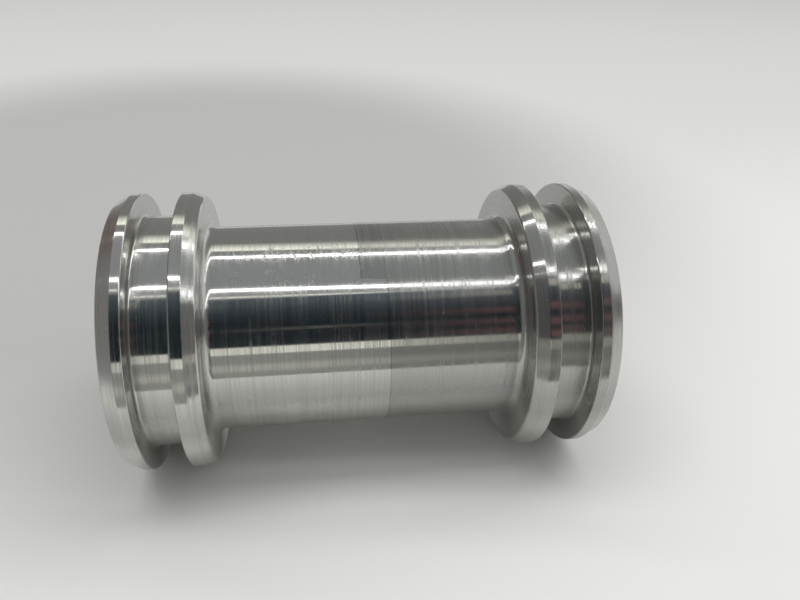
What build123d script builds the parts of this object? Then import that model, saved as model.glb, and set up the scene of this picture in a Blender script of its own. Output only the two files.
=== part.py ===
from build123d import *
import os

os.makedirs("parts", exist_ok=True)

# A turned spool pipe: a short tube that carries a seal groove between two collars at each end.
# It stands on one end face. The axis is Z and the origin is the middle of that face.
# All sizes are in millimetres.

overall_length = 87.5
tube_diameter = 38.9
wall_thickness = 2.05
bore_mouth_chamfer = 0.5

# the sealing end, from its end face inwards
collar_diameter = 52.2
outer_collar_width = 4.25
lead_in_length = 2.55  # taper that guides the end into its socket
lead_in_drop = 1.25
groove_width = 7.1
groove_depth = 4.25
inner_collar_width = 4.35
back_cone_length = 2.25  # shallow cone on the side of the inner collar that faces the tube
back_cone_drop = 1.0

# corners as the lathe tools leave them
groove_corner_break = 0.5
tube_corner_radius = 1.5
land_edge_break = 0.3
back_edge_break = 0.4

tube_radius = tube_diameter / 2
bore_radius = tube_radius - wall_thickness
collar_radius = collar_diameter / 2
groove_floor_radius = collar_radius - groove_depth
nose_radius = collar_radius - lead_in_drop
cone_foot_radius = collar_radius - back_cone_drop
mid_height = overall_length / 2

# heights above the end face
groove_start = outer_collar_width
groove_end = groove_start + groove_width
inner_collar_end = groove_end + inner_collar_width
cone_start = inner_collar_end - back_cone_length

# corners of the section of one half, from the bore mouth outwards and up to mid-length
bore_mouth = (bore_radius, 0)
nose = (nose_radius, 0)
lead_in_top = (collar_radius, lead_in_length)
outer_land_edge = (collar_radius, groove_start)
outer_groove_corner = (groove_floor_radius, groove_start)
inner_groove_corner = (groove_floor_radius, groove_end)
inner_land_edge = (collar_radius, groove_end)
cone_top = (collar_radius, cone_start)
cone_foot = (cone_foot_radius, inner_collar_end)
tube_corner = (tube_radius, inner_collar_end)
tube_middle = (tube_radius, mid_height)
bore_middle = (bore_radius, mid_height)

with BuildPart() as spool_pipe:
    with BuildSketch(Plane.XZ) as section:
        with BuildLine():
            Polyline(
                bore_mouth,
                nose,
                lead_in_top,
                outer_land_edge,
                outer_groove_corner,
                inner_groove_corner,
                inner_land_edge,
                cone_top,
                cone_foot,
                tube_corner,
                tube_middle,
                bore_middle,
                close=True,
            )
        make_face()

        def corners(*points):
            return [section.vertices().sort_by_distance(Vector(*point))[0] for point in points]

        fillet(corners(tube_corner), tube_corner_radius)
        chamfer(corners(outer_groove_corner, inner_groove_corner), groove_corner_break)
        chamfer(corners(nose, outer_land_edge, inner_land_edge), land_edge_break)
        chamfer(corners(cone_foot), back_edge_break)
        chamfer(corners(bore_mouth), bore_mouth_chamfer)
        # the other end is the same, seen from mid-length
        mirror(about=Plane.XZ.offset(-mid_height))
    revolve(axis=Axis.Z)

spool_pipe.part.label = "spool_pipe"
export_step(spool_pipe.part, "parts/spool_pipe.step")
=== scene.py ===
import math

import bmesh
import bpy
from mathutils import Matrix, Vector


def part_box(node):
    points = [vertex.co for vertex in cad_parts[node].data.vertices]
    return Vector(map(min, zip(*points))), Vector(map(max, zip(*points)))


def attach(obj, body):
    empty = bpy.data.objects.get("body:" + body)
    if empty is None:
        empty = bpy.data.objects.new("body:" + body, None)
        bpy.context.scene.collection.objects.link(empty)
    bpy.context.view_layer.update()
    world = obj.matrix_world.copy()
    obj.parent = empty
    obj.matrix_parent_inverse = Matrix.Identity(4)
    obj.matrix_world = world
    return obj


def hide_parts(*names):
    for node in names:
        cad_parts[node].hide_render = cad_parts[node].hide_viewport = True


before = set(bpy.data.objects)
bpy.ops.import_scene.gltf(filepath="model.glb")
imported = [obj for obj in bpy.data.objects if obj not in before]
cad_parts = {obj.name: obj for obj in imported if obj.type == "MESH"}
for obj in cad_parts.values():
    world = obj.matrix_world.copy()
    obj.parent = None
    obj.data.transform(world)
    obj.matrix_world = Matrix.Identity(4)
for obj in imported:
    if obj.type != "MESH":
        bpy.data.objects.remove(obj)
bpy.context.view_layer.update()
print("frame loaded:", sorted(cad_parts))

mm = 0.001
low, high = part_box("spool_pipe")
spoolLength = high[2] - low[2]
collarRadius = min(high[0], -low[0], high[1], -low[1])
spoolMiddle = Vector((0, 0, low[2] + spoolLength / 2))

cameraValues = {
    "lens": 31.98,  # in mm, as the sensor's width
    "eye": (0.0, -141.83 * mm, 33.80 * mm),
    "aim": (-3.685 * mm, 0.0, 51.89 * mm),
    "roll": 87.43,  # degrees: the spool lies on its side in the view
    "sensorWidth": 36,
    "nearest": 0.005,
}


def makeCamera(values):
    cameraData = bpy.data.cameras.new("camera")
    cameraData.lens = values["lens"]
    cameraData.sensor_width = values["sensorWidth"]
    cameraData.clip_start = values["nearest"]
    camera = bpy.data.objects.new("camera", cameraData)
    bpy.context.collection.objects.link(camera)
    eye, aim = Vector(values["eye"]), Vector(values["aim"])
    aimed = (aim - eye).to_track_quat("-Z", "Y").to_matrix().to_4x4()
    rolled = Matrix.Rotation(math.radians(values["roll"]), 4, "Z")
    camera.matrix_world = Matrix.Translation(eye) @ aimed @ rolled
    bpy.context.scene.camera = camera


makeCamera(cameraValues)
print("camera set")

spoolValues = {
    "tubeRadius": 19.45 * mm,
    "boreRadius": 17.40 * mm,
    "boreMouthChamfer": 0.5 * mm,
    "leadInLength": 2.55 * mm,
    "leadInDrop": 1.25 * mm,
    "grooveStart": 4.25 * mm,
    "grooveEnd": 11.35 * mm,
    "grooveDepth": 4.25 * mm,
    "coneStart": 13.45 * mm,
    "collarEnd": 15.70 * mm,
    "coneDrop": 1.0 * mm,
    "grooveCorner": 0.55 * mm,  # this and the next four are how far each corner's rounding reaches
    "tubeCorner": 1.5 * mm,
    "edgeRound": 0.28 * mm,
    "coneEdgeRound": 0.4 * mm,
    "slightRound": 0.05 * mm,
    "roundSegments": 8,
    "slightSegments": 2,
    "witnessHeight": 47.6 * mm,  # where two turning passes meet on the tube
    "witnessStep": 0.02 * mm,
    "turns": 288,
    "mergeDistance": 0.001 * mm,
    "flatsWeight": 80,  # how strongly the larger faces set the shading at the rounded corners
}


def makeSpool(v):
    grooveFloor = collarRadius - v["grooveDepth"]
    nose = collarRadius - v["leadInDrop"]
    coneFoot = collarRadius - v["coneDrop"]
    slight = v["slightRound"]
    # corners of one end, from the bore mouth outwards, each with the length its rounding takes
    end = [
        (v["boreRadius"], v["boreMouthChamfer"], slight),
        (v["boreRadius"] + v["boreMouthChamfer"], 0, slight),
        (nose, 0, v["edgeRound"]),
        (collarRadius, v["leadInLength"], slight),
        (collarRadius, v["grooveStart"], v["edgeRound"]),
        (grooveFloor, v["grooveStart"], v["grooveCorner"]),
        (grooveFloor, v["grooveEnd"], v["grooveCorner"]),
        (collarRadius, v["grooveEnd"], v["edgeRound"]),
        (collarRadius, v["coneStart"], slight),
        (coneFoot, v["collarEnd"], v["coneEdgeRound"]),
        (v["tubeRadius"], v["collarEnd"], v["tubeCorner"]),
    ]
    witness = [
        (v["tubeRadius"], v["witnessHeight"] - v["witnessStep"], 0),
        (v["tubeRadius"] - v["witnessStep"], v["witnessHeight"], 0),
    ]
    otherEnd = [(radius, spoolLength - height, rounding) for radius, height, rounding in reversed(end)]
    corners = end + witness + otherEnd

    bm = bmesh.new()
    verts = [bm.verts.new((0, -radius, low[2] + height)) for radius, height, rounding in corners]
    for first, second in zip(verts, verts[1:] + verts[:1]):
        bm.edges.new((first, second))
    for size in sorted({rounding for radius, height, rounding in corners if rounding}):
        rounded = [vert for vert, corner in zip(verts, corners) if corner[2] == size]
        segments = v["roundSegments"] if size > slight else v["slightSegments"]
        bmesh.ops.bevel(bm, geom=rounded, offset=size, offset_type="OFFSET", affect="VERTICES",
                        segments=segments, profile=0.5, material=-1)
    profile = bm.verts[:] + bm.edges[:]
    print("profile:", len(bm.verts), "vertices")
    bmesh.ops.spin(bm, geom=profile, cent=(0, 0, 0), axis=(0, 0, 1), angle=math.tau,
                   steps=v["turns"], use_merge=True)
    bmesh.ops.remove_doubles(bm, verts=bm.verts[:], dist=v["mergeDistance"])
    bmesh.ops.recalc_face_normals(bm, faces=bm.faces[:])
    for face in bm.faces:
        face.smooth = True
    mesh = bpy.data.meshes.new("spoolPipe")
    bm.to_mesh(mesh)
    bm.free()
    spool = bpy.data.objects.new("spoolPipe", mesh)
    bpy.context.collection.objects.link(spool)
    weighted = spool.modifiers.new("flatsKeepTheirShade", "WEIGHTED_NORMAL")
    weighted.mode = "FACE_AREA"
    weighted.weight = v["flatsWeight"]
    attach(spool, "root")
    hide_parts("spool_pipe")
    return spool


spool = makeSpool(spoolValues)
print("spool made:", len(spool.data.vertices), "vertices,", len(spool.data.polygons), "faces")


def emptyTree(owner):
    owner.use_nodes = True
    owner.node_tree.nodes.clear()
    return owner.node_tree


def addNode(tree, kind, inputs=None, **settings):
    node = tree.nodes.new(kind)
    for name, value in settings.items():
        setattr(node, name, value)
    for name, value in (inputs or {}).items():
        if isinstance(value, bpy.types.NodeSocket):
            tree.links.new(value, node.inputs[name])
        else:
            node.inputs[name].default_value = value
    return node


def maths(tree, operation, first, second=None, third=None, clamp=False):
    given = {index: value for index, value in enumerate((first, second, third)) if value is not None}
    return addNode(tree, "ShaderNodeMath", given, operation=operation, use_clamp=clamp).outputs[0]


def added(tree, first, *others):
    for other in others:
        first = maths(tree, "ADD", first, other)
    return first


def times(tree, first, *others):
    for other in others:
        first = maths(tree, "MULTIPLY", first, other)
    return first


def remap(tree, value, span, toLow=0.0, toHigh=1.0, smooth=False):
    given = {"Value": value, "From Min": span[0], "From Max": span[1], "To Min": toLow, "To Max": toHigh}
    return addNode(tree, "ShaderNodeMapRange", given, clamp=True,
                   interpolation_type="SMOOTHSTEP" if smooth else "LINEAR").outputs["Result"]


def within(tree, value, span, soft):
    # 1 inside the span and 0 outside it, with the soft edges inside
    start, end = span
    return times(tree, remap(tree, value, (start, start + soft)), remap(tree, value, (end, end - soft)))


def band(tree, value, span, soft=1.0):
    # the same with its soft edges centred on the ends of the span
    start, end = span
    rise = remap(tree, value, (start - soft / 2, start + soft / 2))
    fall = remap(tree, value, (end - soft / 2, end + soft / 2), 1.0, 0.0)
    return times(tree, rise, fall)


def blend(tree, factor, first, second, mode="MIX"):
    node = addNode(tree, "ShaderNodeMix", data_type="RGBA", blend_type=mode, clamp_factor=True)
    for index, value in ((0, factor), (6, first), (7, second)):
        if isinstance(value, bpy.types.NodeSocket):
            tree.links.new(value, node.inputs[index])
        else:
            node.inputs[index].default_value = value
    return node.outputs[2]


def objectPlace(tree):
    return addNode(tree, "ShaderNodeTexCoord").outputs["Object"]


def separated(tree, vector):
    return addNode(tree, "ShaderNodeSeparateXYZ", {0: vector}).outputs


def radiusFrom(tree, x, y):
    return maths(tree, "SQRT", added(tree, times(tree, x, x), times(tree, y, y)))


def azimuthFrom(tree, x, y):
    # degrees round the spool's axis: 0 faces the camera, 90 is the top of the view, -90 the bottom
    return times(tree, maths(tree, "ARCTAN2", times(tree, x, -1), times(tree, y, -1)), 180 / math.pi)


def newGroup(name, inputs, outputs):
    group = bpy.data.node_groups.new(name, "ShaderNodeTree")
    for socketName, value in inputs.items():
        socket = group.interface.new_socket(socketName, in_out="INPUT", socket_type="NodeSocketFloat")
        socket.default_value = value
    for socketName in outputs:
        group.interface.new_socket(socketName, in_out="OUTPUT", socket_type="NodeSocketFloat")
    given = addNode(group, "NodeGroupInput").outputs
    result = addNode(group, "NodeGroupOutput").inputs
    return group, given, result


def useGroup(tree, group, **values):
    node = addNode(tree, "ShaderNodeGroup", node_tree=group)
    for name, value in values.items():
        node.inputs[name].default_value = value
    return node.outputs


ringValues = {
    "slope": 0.83,  # how often the rings pass on a flat, as a share of how often they pass on a wall
    "detail": 2.5,
    "grain": 0.6,
    "contrast": (0.35, 0.65),
}


def makeTurningLines(v):
    # rings left by the turning tool: they follow height on a wall and radius on a flat
    group, given, result = newGroup("turningLines", {"pitch": 0.24 * mm, "runLength": 20 * mm, "seed": 0},
                                    ["lines"])
    x, y, z = separated(group, objectPlace(group))
    along = added(group, z, times(group, radiusFrom(group, x, y), v["slope"]))
    vector = addNode(group, "ShaderNodeCombineXYZ", {
        0: added(group, maths(group, "DIVIDE", x, given["runLength"]), given["seed"]),
        1: maths(group, "DIVIDE", y, given["runLength"]),
        2: maths(group, "DIVIDE", along, given["pitch"]),
    }).outputs[0]
    noise = addNode(group, "ShaderNodeTexNoise", {"Vector": vector, "Scale": 1.0, "Detail": v["detail"],
                                                  "Roughness": v["grain"]}).outputs["Fac"]
    group.links.new(remap(group, noise, v["contrast"]), result["lines"])
    return group


scuffValues = {
    "drawnOut": (0.5, 0.5, 1),  # longer round the pipe than along it
    "curl": 1.6,
    "curlDetail": 1.0,
    "patchScale": 0.6,
    "patchDetail": 2.0,
    "patchEdge": (0.72, 0.82),
    "patchGrowth": 0.4,
}


def makeScuffs(v):
    # fine curled scratches from handling, in patches
    group, given, result = newGroup("scuffs", {"size": 2.4 * mm, "width": 0.024, "amount": 0.8}, ["scratch"])
    place = addNode(group, "ShaderNodeMapping", {"Vector": objectPlace(group),
                                                 "Scale": v["drawnOut"]}).outputs[0]
    scale = maths(group, "DIVIDE", 1.0, given["size"])
    curls = addNode(group, "ShaderNodeTexNoise", {"Vector": place, "Scale": scale, "Detail": v["curlDetail"],
                                                  "Distortion": v["curl"]}).outputs["Fac"]
    distance = maths(group, "ABSOLUTE", maths(group, "SUBTRACT", curls, 0.5))
    line = maths(group, "SUBTRACT", 1.0, maths(group, "DIVIDE", distance, given["width"]), clamp=True)
    patches = addNode(group, "ShaderNodeTexNoise", {
        "Vector": place, "Scale": times(group, scale, v["patchScale"]), "Detail": v["patchDetail"],
    }).outputs["Fac"]
    patches = added(group, patches, times(group, given["amount"], v["patchGrowth"]))
    patch = remap(group, patches, v["patchEdge"])
    group.links.new(times(group, line, patch), result["scratch"])
    return group


smearValues = {
    "detail": 3.0,
    "grain": 0.55,
    "contrast": (0.3, 0.7),
}


def makeSmears(v):
    # broad uneven sheen, as a wiped and handled surface has
    group, given, result = newGroup("smears", {"size": 11 * mm, "seed": 0}, ["tone"])
    shift = addNode(group, "ShaderNodeCombineXYZ", {0: given["seed"], 1: given["seed"]}).outputs[0]
    shifted = addNode(group, "ShaderNodeVectorMath", {0: objectPlace(group), 1: shift},
                      operation="ADD").outputs[0]
    noise = addNode(group, "ShaderNodeTexNoise", {
        "Vector": shifted, "Scale": maths(group, "DIVIDE", 1.0, given["size"]),
        "Detail": v["detail"], "Roughness": v["grain"],
    }).outputs["Fac"]
    group.links.new(remap(group, noise, v["contrast"]), result["tone"])
    return group


turningLines, scuffs, smears = makeTurningLines(ringValues), makeScuffs(scuffValues), makeSmears(smearValues)

steelValues = {
    "colour": (0.610, 0.606, 0.584, 1),
    "dullColour": (0.455, 0.452, 0.430, 1),
    "lineColour": (0.27, 0.27, 0.26, 1),
    "roughness": 0.105,
    "dullRoughness": 0.135,
    "anisotropy": 1.0,
    "grainTurn": 0.25,  # a quarter turn lays the grain round the pipe
    "haze": -0.10,  # a wide sheen: below zero, so on the bright half only the lines carry it
    "dullHaze": 0.30,
    "hazeRoughness": 0.40,
    "hazeIor": 1.8,
    # turning rings at three pitches, with how far each runs before it changes
    "fine": {"pitch": 0.24 * mm, "runLength": 20 * mm, "seed": 3},
    "middle": {"pitch": 0.50 * mm, "runLength": 30 * mm, "seed": 5},
    "broad": {"pitch": 1.6 * mm, "runLength": 60 * mm, "seed": 8},
    "fineShare": 0.6,
    "middleShare": 0.4,
    "broadSwell": (0.7, 1.15),
    "lineDepth": 0.0011 * mm,
    "lineDarkening": 0.38,
    "lineRoughness": 0.13,
    "lineHaze": 1.1,
    "darkLines": (0.2, 0.95),  # how deep the lines are where they begin to darken and where they are darkest
    "roughLines": (0.35, 1.0),
    "hazyLines": (0.2, 0.8),
    "scuff": {"size": 2.4 * mm, "width": 0.024, "amount": 0.80},
    "scuffEverywhere": 0.1,
    "scuffDepth": 0.8,
    "scuffRoughness": 0.55,
    "smear": {"size": 11 * mm, "seed": 4},
    "smearRoughness": (-0.02, 0.03),
    "witnessDarkening": 0.75,
    "passDarkening": 0.35,
    "grooveRoughness": 0.02,
    "grooveHaze": 0.08,
    "undersideRoughness": 0.25,
    # painted shade and painted light: how much darker, then lighter, the colour turns towards the underside
    "undersideDarker": 0.75,
    "undersideBrighter": 0.68,
    # where the finish changes: radii and heights are lengths, azimuths are degrees
    "zones": {
        "tube": (20.4 * mm, 20.2 * mm),
        "groove": (20.9 * mm, 22.5 * mm),
        "grooveSoft": 0.2 * mm,
        "upperSide": (21, 22),  # on the upper side the duller pass reaches further along the tube
        "upperSideEnd": (175, 100),
        "upperSideReach": -4.6 * mm,
        "passSoft": (-0.02 * mm, 0.02 * mm),
        "passDark": (7 * mm, 0.5 * mm),  # the start of the duller pass
        "witness": (-0.16 * mm, 0.06 * mm),
        "witnessSoft": 0.05 * mm,
        "handledHigh": (33, 47),  # two stretches of the tube are scuffed most
        "handledHighSoft": 5,
        "handledLow": (19, 30),
        "handledLowSoft": 3,
        "handledHeight": (20 * mm, 46 * mm),
        "handledHeightSoft": 4 * mm,
        "lowerSide": (-175, -120),  # the underside's changes fade out behind
        "underside": (-30, -60),
        # painted shade and painted light on the lower side's colour
        "undersideDarker": (-25, -36),
        "undersideBrighter": (-42, -58),
    },
}


def makeTurnedSteel(v, witnessHeight):
    zone = v["zones"]
    material = bpy.data.materials.new("turnedSteel")
    tree = emptyTree(material)
    x, y, height = separated(tree, objectPlace(tree))
    radius = radiusFrom(tree, x, y)
    azimuth = azimuthFrom(tree, x, y)

    onTube = remap(tree, radius, zone["tube"])
    inGroove = within(tree, radius, zone["groove"], zone["grooveSoft"])
    # the far half was turned in a duller pass, which reaches further along the upper side of the tube
    upperSide = times(tree, remap(tree, azimuth, zone["upperSide"]),
                      remap(tree, azimuth, zone["upperSideEnd"], smooth=True), onTube)
    edge = maths(tree, "MULTIPLY_ADD", upperSide, zone["upperSideReach"], witnessHeight)
    fromEdge = maths(tree, "SUBTRACT", height, edge)
    dull = remap(tree, fromEdge, zone["passSoft"])
    # a thin dark witness where the two passes meet, and the start of the duller pass is the darkest
    witness = times(tree, within(tree, fromEdge, zone["witness"], zone["witnessSoft"]), onTube)
    passStart = times(tree, upperSide, dull, remap(tree, fromEdge, zone["passDark"], smooth=True))
    handled = maths(tree, "MAXIMUM", within(tree, azimuth, zone["handledHigh"], zone["handledHighSoft"]),
                    within(tree, azimuth, zone["handledLow"], zone["handledLowSoft"]))
    atHeight = within(tree, height, zone["handledHeight"], zone["handledHeightSoft"])
    handled = times(tree, handled, atHeight, onTube)
    lowerSide = remap(tree, azimuth, zone["lowerSide"], smooth=True)
    underside = times(tree, remap(tree, azimuth, zone["underside"], smooth=True), lowerSide)

    fine, middle, broad = (useGroup(tree, turningLines, **v[pitch])["lines"]
                           for pitch in ("fine", "middle", "broad"))
    lines = maths(tree, "MULTIPLY_ADD", fine, v["fineShare"], times(tree, middle, v["middleShare"]))
    lines = times(tree, lines, remap(tree, broad, (0, 1), *v["broadSwell"]))
    tone = useGroup(tree, smears, **v["smear"])["tone"]
    scratch = times(tree, useGroup(tree, scuffs, **v["scuff"])["scratch"],
                    remap(tree, handled, (0, 1), v["scuffEverywhere"], 1.0))

    colour = blend(tree, dull, v["colour"], v["dullColour"])
    darkened = remap(tree, lines, v["darkLines"], 0.0, v["lineDarkening"])
    colour = blend(tree, darkened, colour, v["lineColour"])
    colour = blend(tree, times(tree, witness, v["witnessDarkening"]), colour, v["lineColour"])
    colour = blend(tree, times(tree, passStart, v["passDarkening"]), colour, v["lineColour"])
    # painted shade and painted light: the colour darkens in a band below the front, then lightens towards the
    # underside, standing in for the floor's light that the underside reflects
    shade = added(tree, remap(tree, azimuth, zone["undersideDarker"], 1.0, v["undersideDarker"]),
                  remap(tree, azimuth, zone["undersideBrighter"], 0.0, v["undersideBrighter"], smooth=True))
    shade = maths(tree, "MULTIPLY_ADD", maths(tree, "SUBTRACT", shade, 1.0), lowerSide, 1.0)
    colour = blend(tree, 1.0, colour, shade, "MULTIPLY")

    rough = added(tree, remap(tree, dull, (0, 1), v["roughness"], v["dullRoughness"]),
                  added(tree, remap(tree, lines, v["roughLines"], 0.0, v["lineRoughness"]),
                        remap(tree, tone, (0, 1), *v["smearRoughness"])),
                  times(tree, scratch, v["scuffRoughness"]),
                  times(tree, inGroove, v["grooveRoughness"]),
                  times(tree, underside, v["undersideRoughness"]))  # the underside is duller
    depth = maths(tree, "SUBTRACT", lines, times(tree, scratch, v["scuffDepth"]))
    bump = addNode(tree, "ShaderNodeBump", {"Strength": 1.0, "Distance": v["lineDepth"], "Height": depth})
    haze = maths(tree, "MULTIPLY_ADD", remap(tree, lines, v["hazyLines"]), v["lineHaze"],
                 remap(tree, dull, (0, 1), v["haze"], v["dullHaze"]))
    patchHaze = maths(tree, "MULTIPLY_ADD", inGroove, v["grooveHaze"], scratch)
    haze = maths(tree, "ADD", haze, patchHaze, clamp=True)
    shader = addNode(tree, "ShaderNodeBsdfPrincipled", {
        "Coat Weight": haze, "Coat Roughness": v["hazeRoughness"], "Coat IOR": v["hazeIor"],
        "Base Color": colour, "Metallic": 1.0, "Roughness": rough, "Normal": bump.outputs[0],
        "Anisotropic": v["anisotropy"], "Anisotropic Rotation": v["grainTurn"],
        "Tangent": addNode(tree, "ShaderNodeTangent", direction_type="RADIAL", axis="Z").outputs[0],
    })
    addNode(tree, "ShaderNodeOutputMaterial", {"Surface": shader.outputs[0]})
    return material


turnedSteel = makeTurnedSteel(steelValues, low[2] + spoolValues["witnessHeight"])
spool.data.materials.append(turnedSteel)
print("turned steel made")

floorValues = {
    "tilt": 32,  # degrees from the camera's line of sight to the floor
    "width": 6.0,
    "behind": 4.0,
    "front": 76 * mm,  # how far it reaches towards the camera
    "colour": (0.880, 0.880, 0.872, 1),
    # painted shade: the floor is darker towards the back and in a soft patch behind and left of the spool,
    # standing in for shadow
    "paintedFarShade": (0.765, 0.765, 0.757, 1),
    "shadeColour": (0.535, 0.535, 0.530, 1),
    "far": (-240 * mm, -40 * mm),  # from the touching line, where the painted far shade ends
    "shadeReach": (112 * mm, 232 * mm),
    "shadeBehind": 150 * mm,
    "shadeLeft": 60 * mm,
}


def makeFloor(v):
    tilt = math.radians(v["tilt"])
    upwards = Vector((-math.cos(tilt), -math.sin(tilt), 0))  # the spool lies on its side, on both its ends
    frontwards = Vector((math.sin(tilt), -math.cos(tilt), 0))
    touch = spoolMiddle - upwards * collarRadius
    bm = bmesh.new()
    bmesh.ops.create_grid(bm, x_segments=1, y_segments=1, size=0.5)
    bmesh.ops.scale(bm, vec=(v["front"] + v["behind"], v["width"], 1), verts=bm.verts)
    bmesh.ops.translate(bm, vec=((v["front"] - v["behind"]) / 2, 0, 0), verts=bm.verts)
    axes = Matrix((frontwards, upwards.cross(frontwards), upwards)).transposed().to_4x4()
    bmesh.ops.transform(bm, matrix=Matrix.Translation(touch) @ axes, verts=bm.verts)
    mesh = bpy.data.meshes.new("floor")
    bm.to_mesh(mesh)
    bm.free()
    floor = bpy.data.objects.new("floor", mesh)
    bpy.context.collection.objects.link(floor)

    material = bpy.data.materials.new("paleFloor")
    tree = emptyTree(material)
    place = objectPlace(tree)
    centre = touch - frontwards * v["shadeBehind"] - Vector((0, 0, v["shadeLeft"]))
    away = addNode(tree, "ShaderNodeVectorMath", {0: place, 1: centre}, operation="DISTANCE").outputs["Value"]
    fromTouch = addNode(tree, "ShaderNodeVectorMath", {0: place, 1: touch}, operation="SUBTRACT").outputs[0]
    front = addNode(tree, "ShaderNodeVectorMath", {0: fromTouch, 1: frontwards},
                    operation="DOT_PRODUCT").outputs["Value"]
    # painted shade: the floor darkens towards the back
    colour = blend(tree, remap(tree, front, v["far"], smooth=True), v["paintedFarShade"], v["colour"])
    # painted shadow: a soft dark patch round a point behind and left of the spool
    colour = blend(tree, remap(tree, away, v["shadeReach"], smooth=True), v["shadeColour"], colour)
    matt = addNode(tree, "ShaderNodeBsdfDiffuse", {"Color": colour})
    clear = addNode(tree, "ShaderNodeBsdfTransparent")  # from below it doesn't hide the spool
    below = addNode(tree, "ShaderNodeNewGeometry").outputs["Backfacing"]
    mixed = addNode(tree, "ShaderNodeMixShader", {0: below, 1: matt.outputs[0], 2: clear.outputs[0]})
    addNode(tree, "ShaderNodeOutputMaterial", {"Surface": mixed.outputs[0]})
    mesh.materials.append(material)


makeFloor(floorValues)
print("floor made")

# azimuth as in azimuthFrom, shift along the axis towards the spool's far end, slant in degrees
lampValues = {
    "upperStrip": {"azimuth": 77.9, "distance": 1.6, "width": 0.055, "length": 3.2, "shift": 0.35,
                   "slant": -11, "radiance": 9.0, "mirrored": True},
    "frontStrip": {"azimuth": 35.9, "distance": 1.6, "width": 0.060, "length": 3.2, "shift": 0.35,
                   "slant": -10, "radiance": 6.5, "mirrored": True},
    "softPanel": {"azimuth": 58.0, "distance": 1.2, "width": 0.40, "length": 1.8, "shift": 0.10,
                  "slant": 0, "radiance": 3.0, "mirrored": False},
}
# the card wall glows round the spool where only mirrors see it: a painted room whose painted reflections give
# the steel its dark and pale bands
cardValues = {
    "segments": 32,
    "rings": 16,
    "distance": 3.0,
    "dark": (0.011, 0.020, 0.026, 1),
    "darkRight": (0.200, 0.204, 0.196, 1),
    "darkTop": (0.134, 0.165, 0.192, 1),
    "warmPatch": (0.330, 0.150, 0.150, 1),
    "glint": (0.400, 0.390, 0.310, 1),
    "wall": (0.252, 0.259, 0.245, 1),
    "nearWall": (0.345, 0.353, 0.330, 1),
    "ceiling": (0.330, 0.348, 0.350, 1),
    "cornice": (1.72, 1.72, 1.54, 1),
    "paperEdge": (1.17, 1.17, 1.06, 1),
    "warmWhite": (0.54, 0.54, 0.495, 1),
    "warmLamp": (1.25, 1.17, 0.96, 1),
    "farLight": (0.90, 0.90, 0.88, 1),
    "leftEnd": (0.240, 0.238, 0.232, 1),
    "leftEndTop": (0.190, 0.155, 0.146, 1),
    # where each card lies: its azimuths, and how far its directions lean along the axis, from -1 to 1
    "places": {
        "glow": (2, 29.5),
        "glowAlong": (0.04, 0.13),
        "glowLeft": 0.6,
        "glowPower": 1.4,
        "streaks": ((-22.5, -17), (-12, -6.5), (0.8, 6.5)),
        "streaksAlong": (0.285, 0.45),
        "streaksSoft": 1.5,
        "streaksLean": -25.0,
        "streaksTurn": 7.5,
        "warmLamp": (21.5, 27.3),
        "warmLampAlong": (0.33, 0.45),
        "darkRightAlong": (0.45, 0.60),
        "glint": (-6.5, -3.5),
        "glintAlong": (-0.025, 0.02),
        "alongSoft": 0.02,
        "ceiling": (29.3, 87.5),
        "wall": (87, 88),
        "farLight": (122, 142),
        "farLightAlong": (0.28, 0.33),
        "cornice": (90.3, 110),
        "corniceFade": (90.3, 103),
        "corniceLean": 15.0,  # the cornice isn't quite in line with the spool
        "thinLine": (30.1, 31.2),
        "thinLineAlong": (0.09, 0.12),
        "thinLineSoft": 0.3,
        "thinLineLean": 6.25,
        "thinLineStrength": 0.9,
        "paperEdge": (-31.5, -23.4),
        "paperEdgeLeft": (-0.04, 0.03),
        "paperEdgeRight": (0.06, 0.25),
        "paperEdgeEnd": (-0.36, -0.24),
        "paperEdgeFades": (0.76, 0.25, 0.3),
        "near": (-31, -32),
        "nearDarkAlong": (0.0, 0.26),
        "nearDark": 0.45,
        "warmWhite": (-51, -43),
        "warmWhiteSoft": 5,
        "leftEndAlong": (-0.42, -0.58),
        "leftEndTop": (92, 140),
        "leftEndTopSoft": 10,
        "behind": (150, 178),
        "openingAlong": (0.55, 0.80),
        "closed": (-31, 29),
        "closedSoft": 8,
    },
}
studioValues = {
    "backdrop": (0.76, 0.76, 0.75, 1),
    "softLight": (0.392, 0.396, 0.378, 1),  # what reaches matt surfaces from all round
}


def around(azimuth):
    turn = math.radians(azimuth)
    return Vector((-math.sin(turn), -math.cos(turn), 0))


def makeLamp(name, v):
    lampData = bpy.data.lights.new(name, "AREA")
    lampData.shape = "RECTANGLE"
    lampData.size = v["width"]
    lampData.size_y = v["length"]
    lampData.energy = v["radiance"] * math.pi * v["width"] * v["length"]
    lamp = bpy.data.objects.new(name, lampData)
    bpy.context.collection.objects.link(lamp)
    outwards = around(v["azimuth"])
    place = spoolMiddle + outwards * v["distance"] + Vector((0, 0, v["shift"]))
    facing = outwards.to_track_quat("Z", "Y").to_matrix().to_4x4()  # a lamp shines along its own -Z
    slanted = Matrix.Rotation(math.radians(v["slant"]), 4, outwards)
    lamp.matrix_world = Matrix.Translation(place) @ slanted @ facing
    lamp.visible_camera = False
    lamp.visible_glossy = v["mirrored"]


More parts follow.
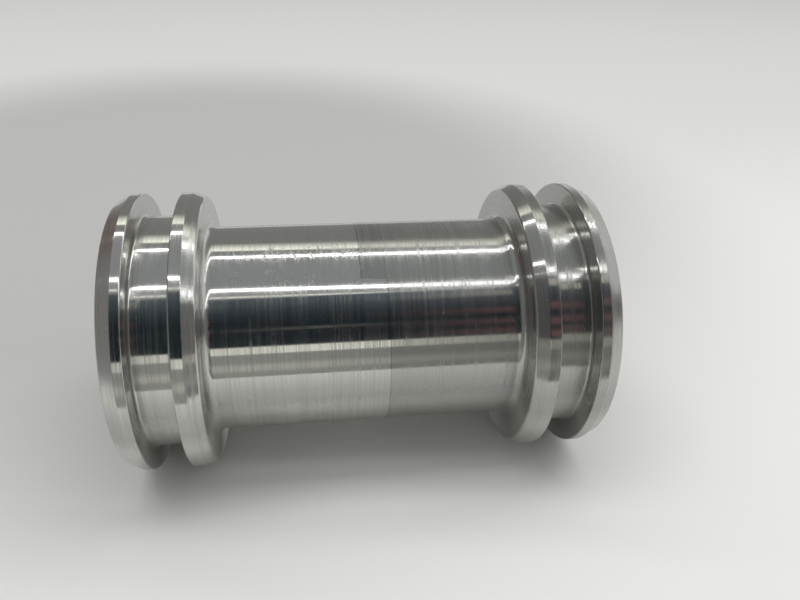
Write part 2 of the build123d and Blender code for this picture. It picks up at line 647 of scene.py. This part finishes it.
def makeCards(v):
    at = v["places"]
    bm = bmesh.new()
    bmesh.ops.create_uvsphere(bm, u_segments=v["segments"], v_segments=v["rings"], radius=v["distance"])
    bmesh.ops.translate(bm, vec=spoolMiddle, verts=bm.verts)
    bmesh.ops.reverse_faces(bm, faces=bm.faces[:])
    mesh = bpy.data.meshes.new("cardWall")
    bm.to_mesh(mesh)
    bm.free()
    cards = bpy.data.objects.new("cardWall", mesh)
    bpy.context.collection.objects.link(cards)
    cards.visible_camera = cards.visible_diffuse = cards.visible_shadow = False
    cards.visible_transmission = cards.visible_volume_scatter = False

    material = bpy.data.materials.new("cards")
    tree = emptyTree(material)
    outwards = addNode(tree, "ShaderNodeVectorMath", {0: objectPlace(tree), 1: spoolMiddle},
                       operation="SUBTRACT").outputs[0]
    direction = addNode(tree, "ShaderNodeVectorMath", {0: outwards}, operation="NORMALIZE").outputs[0]
    x, y, along = separated(tree, direction)
    azimuth = azimuthFrom(tree, x, y)
    soft = at["alongSoft"]

    # the dark room in front, which glows a little towards its top
    glow = maths(tree, "POWER", remap(tree, azimuth, at["glow"]), at["glowPower"])
    glow = times(tree, glow, remap(tree, along, at["glowAlong"], at["glowLeft"], 1.0))
    colour = blend(tree, glow, v["dark"], v["darkTop"])
    leaning = maths(tree, "MULTIPLY_ADD", along, at["streaksLean"], added(tree, azimuth, at["streaksTurn"]))
    streaks = added(tree, *(band(tree, leaning, span, at["streaksSoft"]) for span in at["streaks"]))
    streaks = times(tree, streaks, band(tree, along, at["streaksAlong"], soft))
    colour = blend(tree, streaks, colour, v["warmPatch"])
    lamp = times(tree, band(tree, azimuth, at["warmLamp"]), band(tree, along, at["warmLampAlong"], soft))
    colour = blend(tree, lamp, colour, v["warmLamp"])
    colour = blend(tree, remap(tree, along, at["darkRightAlong"]), colour, v["darkRight"])
    glint = times(tree, band(tree, azimuth, at["glint"]), band(tree, along, at["glintAlong"], soft))
    colour = blend(tree, glint, colour, v["glint"])

    # above it the ceiling, then the wall with its cornice
    colour = blend(tree, band(tree, azimuth, at["ceiling"]), colour, v["ceiling"])
    farLight = times(tree, remap(tree, azimuth, at["farLight"]), remap(tree, along, at["farLightAlong"]))
    wall = blend(tree, farLight, v["wall"], v["farLight"])
    colour = blend(tree, remap(tree, azimuth, at["wall"]), colour, wall)
    slanted = maths(tree, "MULTIPLY_ADD", along, at["corniceLean"], azimuth)
    cornice = times(tree, band(tree, slanted, at["cornice"]), remap(tree, slanted, at["corniceFade"], 1, 0))
    colour = blend(tree, cornice, colour, v["cornice"])
    slanted = maths(tree, "MULTIPLY_ADD", along, at["thinLineLean"], azimuth)
    thinLine = times(tree, band(tree, slanted, at["thinLine"], at["thinLineSoft"]),
                     remap(tree, along, at["thinLineAlong"], at["thinLineStrength"], 0.0))
    colour = blend(tree, thinLine, colour, v["cornice"])

    # below it the edge of a sheet of paper, then the near wall
    leftFade, rightFade, endFade = at["paperEdgeFades"]
    paperEdge = times(tree, band(tree, azimuth, at["paperEdge"]),
                      times(tree, remap(tree, along, at["paperEdgeLeft"], leftFade, 1.0),
                            remap(tree, along, at["paperEdgeRight"], 1.0, rightFade),
                            remap(tree, along, at["paperEdgeEnd"], endFade, 1.0)))
    colour = blend(tree, paperEdge, colour, v["paperEdge"])
    warmWhite = band(tree, azimuth, at["warmWhite"], at["warmWhiteSoft"])
    near = blend(tree, warmWhite, v["nearWall"], v["warmWhite"])
    near = blend(tree, remap(tree, along, at["nearDarkAlong"], 0.0, at["nearDark"]), near, v["dark"])
    colour = blend(tree, remap(tree, azimuth, at["near"]), colour, near)

    # the left end, and one tone behind the spool where the wall's two sides meet
    leftEndTop = band(tree, azimuth, at["leftEndTop"], at["leftEndTopSoft"])
    leftEnd = blend(tree, leftEndTop, v["leftEnd"], v["leftEndTop"])
    colour = blend(tree, remap(tree, along, at["leftEndAlong"], smooth=True), colour, leftEnd)
    behind = remap(tree, maths(tree, "ABSOLUTE", azimuth), at["behind"], smooth=True)
    colour = blend(tree, behind, colour, v["wall"])

    # the right end is open to the backdrop
    closed = band(tree, azimuth, at["closed"], at["closedSoft"])
    opening = times(tree, remap(tree, along, at["openingAlong"], smooth=True),
                    maths(tree, "SUBTRACT", 1.0, closed))
    glowing = addNode(tree, "ShaderNodeEmission", {"Color": colour, "Strength": 1.0})
    gone = addNode(tree, "ShaderNodeBsdfTransparent")
    mixed = addNode(tree, "ShaderNodeMixShader", {0: opening, 1: glowing.outputs[0], 2: gone.outputs[0]})
    addNode(tree, "ShaderNodeOutputMaterial", {"Surface": mixed.outputs[0]})
    material.cycles.emission_sampling = "NONE"
    mesh.materials.append(material)


def makeStudio(v):
    world = bpy.data.worlds.new("studio")
    bpy.context.scene.world = world
    tree = emptyTree(world)
    ray = addNode(tree, "ShaderNodeLightPath").outputs
    seen = maths(tree, "ADD", added(tree, ray["Is Camera Ray"], ray["Is Glossy Ray"]),
                 ray["Is Transmission Ray"], clamp=True)
    colour = blend(tree, seen, v["softLight"], v["backdrop"])
    background = addNode(tree, "ShaderNodeBackground", {"Color": colour, "Strength": 1.0})
    addNode(tree, "ShaderNodeOutputWorld", {"Surface": background.outputs[0]})


for lampName, values in lampValues.items():
    makeLamp(lampName, values)
makeCards(cardValues)
makeStudio(studioValues)
print("lamps, cards and studio made")

bpy.context.scene.view_settings.view_transform = "Standard"
